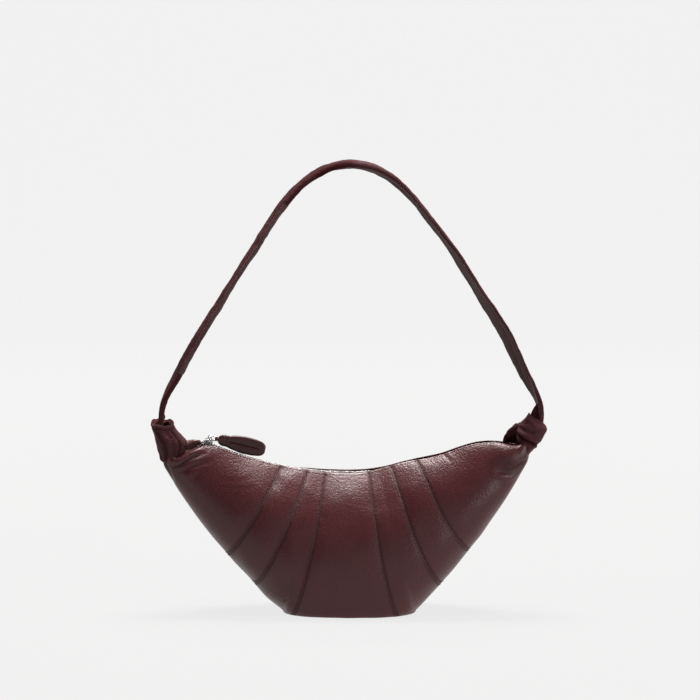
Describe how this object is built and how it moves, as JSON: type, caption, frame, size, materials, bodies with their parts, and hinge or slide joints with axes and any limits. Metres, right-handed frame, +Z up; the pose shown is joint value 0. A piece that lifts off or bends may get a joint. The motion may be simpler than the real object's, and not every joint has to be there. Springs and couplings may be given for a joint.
{
  "type": "half moon bag",
  "caption": "Small half moon leather handbag with fanned gores, a flat base, a zipped arched mouth that opens, and one soft strap tied on at two knots.",
  "frame": {"origin": "centre of the base's underside, on the table", "axes": "+X to the bag's right as the picture shows it, +Y to the back, +Z up"},
  "size_m": [0.4011, 0.103, 0.4521],
  "materials": {
    "body_leather": "pebbled, satin, dark burgundy brown",
    "strap_leather": "pebbled, satin, dark burgundy brown, greyer on its folded underside",
    "puller_leather": "smooth, satin, dark burgundy brown",
    "lining": "plain woven, matt, dark brown",
    "board": "plain board, matt, hidden between base and lining",
    "zip_tape": "ribbed woven tape, matt, dark brown",
    "zip_metal": "bright nickel, slightly brushed"
  },
  "bodies": {
    "root": {"base_panel": "body_leather", "base_board": "board", "front_gore_1": "body_leather", "front_gore_2": "body_leather", "front_gore_3": "body_leather", "front_gore_4": "body_leather", "front_gore_5": "body_leather", "front_gore_6": "body_leather", "front_gore_7": "body_leather", "back_gore_1": "body_leather", "back_gore_2": "body_leather", "back_gore_3": "body_leather", "back_gore_4": "body_leather", "back_gore_5": "body_leather", "back_gore_6": "body_leather", "back_gore_7": "body_leather", "front_lining": "lining", "back_lining": "lining", "base_lining": "lining", "end_zip_tapes": "zip_tape", "end_zip_teeth": "zip_metal", "zip_stops": "zip_metal", "left_knot": "strap_leather", "right_knot": "strap_leather", "left_stem": "strap_leather", "right_stem": "strap_leather", "right_back_loop": "strap_leather"},
    "front_flap": {"front_gore_1_top": "body_leather", "front_gore_2_top": "body_leather", "front_gore_3_top": "body_leather", "front_gore_4_top": "body_leather", "front_gore_5_top": "body_leather", "front_gore_6_top": "body_leather", "front_gore_7_top": "body_leather", "front_lining_top": "lining", "front_zip_tape": "zip_tape", "front_zip_teeth": "zip_metal"},
    "back_flap": {"back_gore_1_top": "body_leather", "back_gore_2_top": "body_leather", "back_gore_3_top": "body_leather", "back_gore_4_top": "body_leather", "back_gore_5_top": "body_leather", "back_gore_6_top": "body_leather", "back_gore_7_top": "body_leather", "back_lining_top": "lining", "back_zip_tape": "zip_tape", "back_zip_teeth": "zip_metal"},
    "slider": {"slider": "zip_metal"},
    "pull_link": {"pull_link": "zip_metal"},
    "puller": {"puller_wrap": "puller_leather", "puller_loop": "puller_leather"},
    "strap": {"strap": "strap_leather"}
  },
  "joints": [
    {"name": "zip_run", "type": "hinge", "parent": "root", "child": "slider", "pos_m": [0, 0, 0.49], "axis": [0, -1, 0], "range_deg": [0, 40.79]},
    {"name": "front_mouth", "type": "hinge", "parent": "root", "child": "front_flap", "pos_m": [0, -0.0424, 0.104], "axis": [1, 0, 0], "range_deg": [0, 32.7]},
    {"name": "back_mouth", "type": "hinge", "parent": "root", "child": "back_flap", "pos_m": [0, 0.0424, 0.104], "axis": [-1, 0, 0], "range_deg": [0, 32.7]},
    {"name": "link_swing", "type": "hinge", "parent": "slider", "child": "pull_link", "pos_m": [-0.13916, 0, 0.17518], "axis": [0, -1, 0], "range_deg": [0, 90]},
    {"name": "puller_swing", "type": "hinge", "parent": "pull_link", "child": "puller", "pos_m": [-0.1338, 0, 0.17395], "axis": [0, -1, 0], "range_deg": [0, 35]},
    {"name": "strap_swing", "type": "hinge", "parent": "root", "child": "strap", "pos_m": [0, 0, 0.2045], "axis": [1, 0, 0], "range_deg": [-110, 110]}
  ],
  "couplings": [
    {"joint": "front_mouth", "follows": "zip_run", "ratio": 0.8},
    {"joint": "back_mouth", "follows": "zip_run", "ratio": 0.8}
  ]
}
